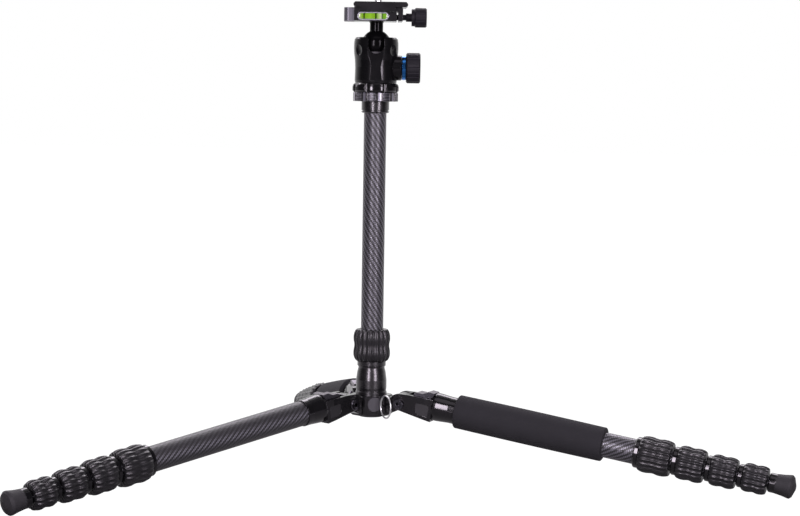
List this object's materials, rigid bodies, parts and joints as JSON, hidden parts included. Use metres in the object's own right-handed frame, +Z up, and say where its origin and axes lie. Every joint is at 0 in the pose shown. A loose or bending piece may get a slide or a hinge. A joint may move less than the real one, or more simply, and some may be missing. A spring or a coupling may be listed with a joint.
{
  "type": "travel tripod",
  "caption": "Compact travel tripod at its lowest spread: folding legs with nested twist-lock sections, a sliding column and a ball head with a quick-release plate.",
  "frame": {"origin": "on the floor, at the bottom centre of the box round the whole tripod as it stands at rest", "axes": "+Z up; the head faces -Y, with its main knob and clamp knob on +X; the leg ring is turned 11 degrees about the column"},
  "size_m": [0.6539, 0.6307, 0.4228],
  "materials": {
    "carbon": "carbon-fibre tube with a woven twill, satin clear coat",
    "grip_rubber": "ribbed rubber over aluminium",
    "foot_rubber": "matte rubber",
    "foam": "matte closed-cell foam",
    "cast_black": "black anodised aluminium casting",
    "tab_black": "gloss black",
    "bolt_black": "gloss black steel",
    "cap_plastic": "matte",
    "bright_wire": "bright steel",
    "anodised_black": "satin black anodised aluminium",
    "housing_black": "satin black anodised aluminium",
    "seat_plastic": "bearing plastic",
    "knob_rubber": "matte rubber",
    "anodised_blue": "blue anodised",
    "ball_black": "black anodised, polished",
    "level_green": "clear tube of green liquid",
    "plate_black": "satin black anodised aluminium"
  },
  "bodies": {
    "hub": {"hub": "cast_black", "neck": "cast_black", "leg_pivot_bolts": "bolt_black", "hub_caps": "cap_plastic"},
    "strap_ring": {"strap_ring": "bright_wire"},
    "column_lock": {"column_lock": "grip_rubber"},
    "column": {"column_tube": "carbon", "column_end_stop": "cap_plastic", "column_top_plate": "anodised_black", "pan_base": "anodised_black"},
    "housing": {"ball_housing": "housing_black", "ball_seat": "seat_plastic"},
    "main_knob": {"main_knob": "knob_rubber"},
    "friction_ring": {"friction_ring": "anodised_blue"},
    "pan_knob": {"pan_knob": "knob_rubber"},
    "ball": {"ball_stem": "ball_black"},
    "clamp": {"clamp_body": "anodised_black", "bubble_level": "level_green"},
    "clamp_jaw": {"clamp_jaw": "anodised_black"},
    "clamp_knob": {"clamp_knob": "knob_rubber"},
    "quick_plate": {"quick_plate": "plate_black"},
    "camera_screw": {"camera_screw": "bright_wire"},
    "left_leg": {"left_shoulder": "cast_black", "left_tube_1": "carbon"},
    "left_stop_tab": {"left_stop_tab": "tab_black"},
    "left_lock_1": {"left_lock_1": "grip_rubber"},
    "left_section_2": {"left_tube_2": "carbon"},
    "left_lock_2": {"left_lock_2": "grip_rubber"},
    "left_section_3": {"left_tube_3": "carbon"},
    "left_lock_3": {"left_lock_3": "grip_rubber"},
    "left_section_4": {"left_tube_4": "carbon"},
    "left_lock_4": {"left_lock_4": "grip_rubber"},
    "left_section_5": {"left_tube_5": "carbon", "left_foot": "foot_rubber"},
    "right_leg": {"right_shoulder": "cast_black", "right_tube_1": "carbon", "right_grip": "foam"},
    "right_stop_tab": {"right_stop_tab": "tab_black"},
    "right_lock_1": {"right_lock_1": "grip_rubber"},
    "right_section_2": {"right_tube_2": "carbon"},
    "right_lock_2": {"right_lock_2": "grip_rubber"},
    "right_section_3": {"right_tube_3": "carbon"},
    "right_lock_3": {"right_lock_3": "grip_rubber"},
    "right_section_4": {"right_tube_4": "carbon"},
    "right_lock_4": {"right_lock_4": "grip_rubber"},
    "right_section_5": {"right_tube_5": "carbon", "right_foot": "foot_rubber"},
    "rear_leg": {"rear_shoulder": "cast_black", "rear_tube_1": "carbon", "rear_grip": "foam"},
    "rear_stop_tab": {"rear_stop_tab": "tab_black"},
    "rear_lock_1": {"rear_lock_1": "grip_rubber"},
    "rear_section_2": {"rear_tube_2": "carbon"},
    "rear_lock_2": {"rear_lock_2": "grip_rubber"},
    "rear_section_3": {"rear_tube_3": "carbon"},
    "rear_lock_3": {"rear_lock_3": "grip_rubber"},
    "rear_section_4": {"rear_tube_4": "carbon"},
    "rear_lock_4": {"rear_lock_4": "grip_rubber"},
    "rear_section_5": {"rear_tube_5": "carbon", "rear_foot": "foot_rubber"}
  },
  "joints": [
    {"name": "strap_ring_swing", "type": "hinge", "parent": "hub", "child": "strap_ring", "pos_m": [-0.02563, -0.07644, 0.06009], "axis": [0.8988, 0.4384, 0], "range_deg": [-20, 20]},
    {"name": "column_lock_twist", "type": "hinge", "parent": "hub", "child": "column_lock", "pos_m": [-0.03434, -0.05859, 0.09809], "axis": [0, 0, 1], "range_deg": [0, 90]},
    {"name": "column_slide", "type": "slide", "parent": "hub", "child": "column", "axis": [0, 0, 1], "range_m": [-0.193, 0]},
    {"name": "pan", "type": "hinge", "parent": "column", "child": "housing", "pos_m": [-0.03434, -0.05859, 0.34664], "axis": [0, 0, 1], "continuous": true},
    {"name": "main_knob_turn", "type": "hinge", "parent": "housing", "child": "main_knob", "pos_m": [-0.01454, -0.05859, 0.36024], "axis": [1, 0, 0], "range_deg": [0, 300]},
    {"name": "friction_ring_turn", "type": "hinge", "parent": "housing", "child": "friction_ring", "pos_m": [-0.01454, -0.05859, 0.36024], "axis": [1, 0, 0], "range_deg": [0, 270]},
    {"name": "pan_knob_turn", "type": "hinge", "parent": "housing", "child": "pan_knob", "pos_m": [-0.03434, -0.03879, 0.3587], "axis": [0, 1, 0], "range_deg": [0, 300]},
    {"name": "ball_tilt", "type": "hinge", "parent": "housing", "child": "ball", "pos_m": [-0.03434, -0.05859, 0.38054], "axis": [-1, 0, 0], "range_deg": [-90, 34]},
    {"name": "ball_spin", "type": "hinge", "parent": "ball", "child": "clamp", "pos_m": [-0.03434, -0.05859, 0.38054], "axis": [0, 0, 1], "continuous": true},
    {"name": "clamp_knob_turn", "type": "hinge", "parent": "clamp", "child": "clamp_knob", "pos_m": [0.00526, -0.05859, 0.4049], "axis": [1, 0, 0], "range_deg": [0, 720]},
    {"name": "jaw_slide", "type": "slide", "parent": "clamp", "child": "clamp_jaw", "axis": [1, 0, 0], "range_m": [0, 0.0025]},
    {"name": "plate_slide", "type": "slide", "parent": "clamp", "child": "quick_plate", "axis": [0, 1, 0], "range_m": [-0.008, 0.008]},
    {"name": "camera_screw_turn", "type": "hinge", "parent": "quick_plate", "child": "camera_screw", "pos_m": [-0.03314, -0.05859, 0.41294], "axis": [0, 0, 1], "continuous": true},
    {"name": "left_leg_fold", "type": "hinge", "parent": "hub", "child": "left_leg", "pos_m": [-0.05698, -0.07827, 0.06209], "axis": [-0.6561, 0.7547, 0], "range_deg": [-81, 92]},
    {"name": "left_tab_slide", "type": "slide", "parent": "left_leg", "child": "left_stop_tab", "axis": [-0.7454, -0.648, -0.1564], "range_m": [-0.005, 0]},
    {"name": "left_lock_1_twist", "type": "hinge", "parent": "left_leg", "child": "left_lock_1", "pos_m": [-0.22953, -0.22826, 0.02892], "axis": [-0.7454, -0.648, -0.1564], "range_deg": [0, 90]},
    {"name": "left_slide_2", "type": "slide", "parent": "left_leg", "child": "left_section_2", "axis": [-0.7454, -0.648, -0.1564], "range_m": [0, 0.165]},
    {"name": "left_lock_2_twist", "type": "hinge", "parent": "left_section_2", "child": "left_lock_2", "pos_m": [-0.25293, -0.24861, 0.02401], "axis": [-0.7454, -0.648, -0.1564], "range_deg": [0, 90]},
    {"name": "left_slide_3", "type": "slide", "parent": "left_section_2", "child": "left_section_3", "axis": [-0.7454, -0.648, -0.1564], "range_m": [0, 0.192]},
    {"name": "left_lock_3_twist", "type": "hinge", "parent": "left_section_3", "child": "left_lock_3", "pos_m": [-0.27425, -0.26714, 0.01953], "axis": [-0.7454, -0.648, -0.1564], "range_deg": [0, 90]},
    {"name": "left_slide_4", "type": "slide", "parent": "left_section_3", "child": "left_section_4", "axis": [-0.7454, -0.648, -0.1564], "range_m": [0, 0.218]},
    {"name": "left_lock_4_twist", "type": "hinge", "parent": "left_section_4", "child": "left_lock_4", "pos_m": [-0.29468, -0.2849, 0.01525], "axis": [-0.7454, -0.648, -0.1564], "range_deg": [0, 90]},
    {"name": "left_slide_5", "type": "slide", "parent": "left_section_4", "child": "left_section_5", "axis": [-0.7454, -0.648, -0.1564], "range_m": [0, 0.243]},
    {"name": "right_leg_fold", "type": "hinge", "parent": "hub", "child": "right_leg", "pos_m": [-0.00597, -0.06836, 0.06209], "axis": [-0.3256, -0.9455, 0], "range_deg": [-81, 92]},
    {"name": "right_tab_slide", "type": "slide", "parent": "right_leg", "child": "right_stop_tab", "axis": [0.9339, -0.3216, -0.1564], "range_m": [-0.005, 0]},
    {"name": "right_lock_1_twist", "type": "hinge", "parent": "right_leg", "child": "right_lock_1", "pos_m": [0.2102, -0.14279, 0.02892], "axis": [0.9339, -0.3216, -0.1564], "range_deg": [0, 90]},
    {"name": "right_slide_2", "type": "slide", "parent": "right_leg", "child": "right_section_2", "axis": [0.9339, -0.3216, -0.1564], "range_m": [0, 0.165]},
    {"name": "right_lock_2_twist", "type": "hinge", "parent": "right_section_2", "child": "right_lock_2", "pos_m": [0.23952, -0.15289, 0.02401], "axis": [0.9339, -0.3216, -0.1564], "range_deg": [0, 90]},
    {"name": "right_slide_3", "type": "slide", "parent": "right_section_2", "child": "right_section_3", "axis": [0.9339, -0.3216, -0.1564], "range_m": [0, 0.192]},
    {"name": "right_lock_3_twist", "type": "hinge", "parent": "right_section_3", "child": "right_lock_3", "pos_m": [0.26623, -0.16209, 0.01953], "axis": [0.9339, -0.3216, -0.1564], "range_deg": [0, 90]},
    {"name": "right_slide_4", "type": "slide", "parent": "right_section_3", "child": "right_section_4", "axis": [0.9339, -0.3216, -0.1564], "range_m": [0, 0.218]},
    {"name": "right_lock_4_twist", "type": "hinge", "parent": "right_section_4", "child": "right_lock_4", "pos_m": [0.29182, -0.1709, 0.01525], "axis": [0.9339, -0.3216, -0.1564], "range_deg": [0, 90]},
    {"name": "right_slide_5", "type": "slide", "parent": "right_section_4", "child": "right_section_5", "axis": [0.9339, -0.3216, -0.1564], "range_m": [0, 0.243]},
    {"name": "rear_leg_fold", "type": "hinge", "parent": "hub", "child": "rear_leg", "pos_m": [-0.04006, -0.02914, 0.06209], "axis": [0.9816, 0.1908, 0], "range_deg": [-81, 92]},
    {"name": "rear_tab_slide", "type": "slide", "parent": "rear_leg", "child": "rear_stop_tab", "axis": [-0.1885, 0.9695, -0.1564], "range_m": [-0.005, 0]},
    {"name": "rear_lock_1_twist", "type": "hinge", "parent": "rear_leg", "child": "rear_lock_1", "pos_m": [-0.08369, 0.19528, 0.02892], "axis": [-0.1885, 0.9695, -0.1564], "range_deg": [0, 90]},
    {"name": "rear_slide_2", "type": "slide", "parent": "rear_leg", "child": "rear_section_2", "axis": [-0.1885, 0.9695, -0.1564], "range_m": [0, 0.165]},
    {"name": "rear_lock_2_twist", "type": "hinge", "parent": "rear_section_2", "child": "rear_lock_2", "pos_m": [-0.08961, 0.22573, 0.02401], "axis": [-0.1885, 0.9695, -0.1564], "range_deg": [0, 90]},
    {"name": "rear_slide_3", "type": "slide", "parent": "rear_section_2", "child": "rear_section_3", "axis": [-0.1885, 0.9695, -0.1564], "range_m": [0, 0.192]},
    {"name": "rear_lock_3_twist", "type": "hinge", "parent": "rear_section_3", "child": "rear_lock_3", "pos_m": [-0.09499, 0.25345, 0.01953], "axis": [-0.1885, 0.9695, -0.1564], "range_deg": [0, 90]},
    {"name": "rear_slide_4", "type": "slide", "parent": "rear_section_3", "child": "rear_section_4", "axis": [-0.1885, 0.9695, -0.1564], "range_m": [0, 0.218]},
    {"name": "rear_lock_4_twist", "type": "hinge", "parent": "rear_section_4", "child": "rear_lock_4", "pos_m": [-0.10016, 0.28002, 0.01525], "axis": [-0.1885, 0.9695, -0.1564], "range_deg": [0, 90]},
    {"name": "rear_slide_5", "type": "slide", "parent": "rear_section_4", "child": "rear_section_5", "axis": [-0.1885, 0.9695, -0.1564], "range_m": [0, 0.243]}
  ],
  "couplings": [
    {"joint": "jaw_slide", "follows": "clamp_knob_turn", "m_per_rad": 0.00019875}
  ]
}
